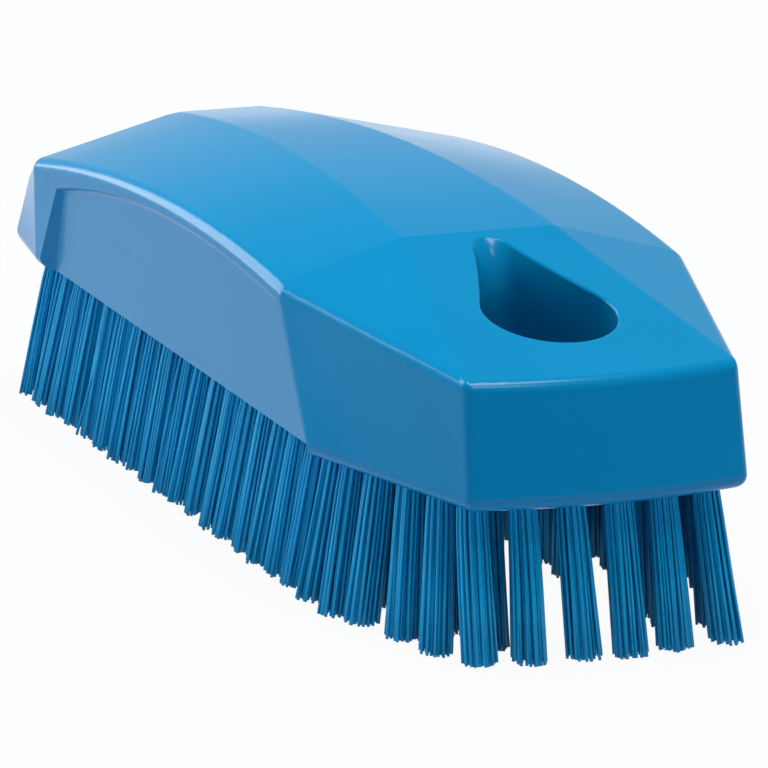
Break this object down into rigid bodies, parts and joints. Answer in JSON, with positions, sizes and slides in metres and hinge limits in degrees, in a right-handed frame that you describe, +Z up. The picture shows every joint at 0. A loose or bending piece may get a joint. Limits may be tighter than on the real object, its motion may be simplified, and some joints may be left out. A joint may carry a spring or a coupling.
{
  "type": "nail brush",
  "caption": "Hand-held nail brush: arched, faceted plastic block with finger recesses, a teardrop hanging hole and stiff filament tufts held by staples in blind holes.",
  "frame": {"origin": "middle of the brush on the plane of the tuft tips, which it stands on", "axes": "+X along the length to the end with the hanging hole, +Y across the width, +Z up out of the block's arched top"},
  "size_m": [0.1178, 0.048, 0.0378],
  "materials": {
    "block_plastic": "glossy moulded",
    "tuft_filament": "satin filament",
    "staple_steel": "drawn flat wire"
  },
  "bodies": {
    "root": {"block": "block_plastic", "staples": "staple_steel", "tuft_row_01": "tuft_filament", "tuft_row_02": "tuft_filament", "tuft_row_03": "tuft_filament", "tuft_row_04": "tuft_filament", "tuft_row_05": "tuft_filament", "tuft_row_06": "tuft_filament", "tuft_row_07": "tuft_filament", "tuft_row_08": "tuft_filament", "tuft_row_09": "tuft_filament", "tuft_row_10": "tuft_filament", "tuft_row_11": "tuft_filament", "tuft_row_12": "tuft_filament", "tuft_row_13": "tuft_filament", "tuft_row_14": "tuft_filament", "tuft_row_15": "tuft_filament", "tuft_row_16": "tuft_filament", "tuft_row_17": "tuft_filament", "tuft_row_18": "tuft_filament", "tuft_row_19": "tuft_filament", "tuft_row_20": "tuft_filament", "tuft_row_21": "tuft_filament", "tuft_row_22": "tuft_filament", "tuft_row_23": "tuft_filament", "tuft_row_24": "tuft_filament"}
  },
  "joints": []
}
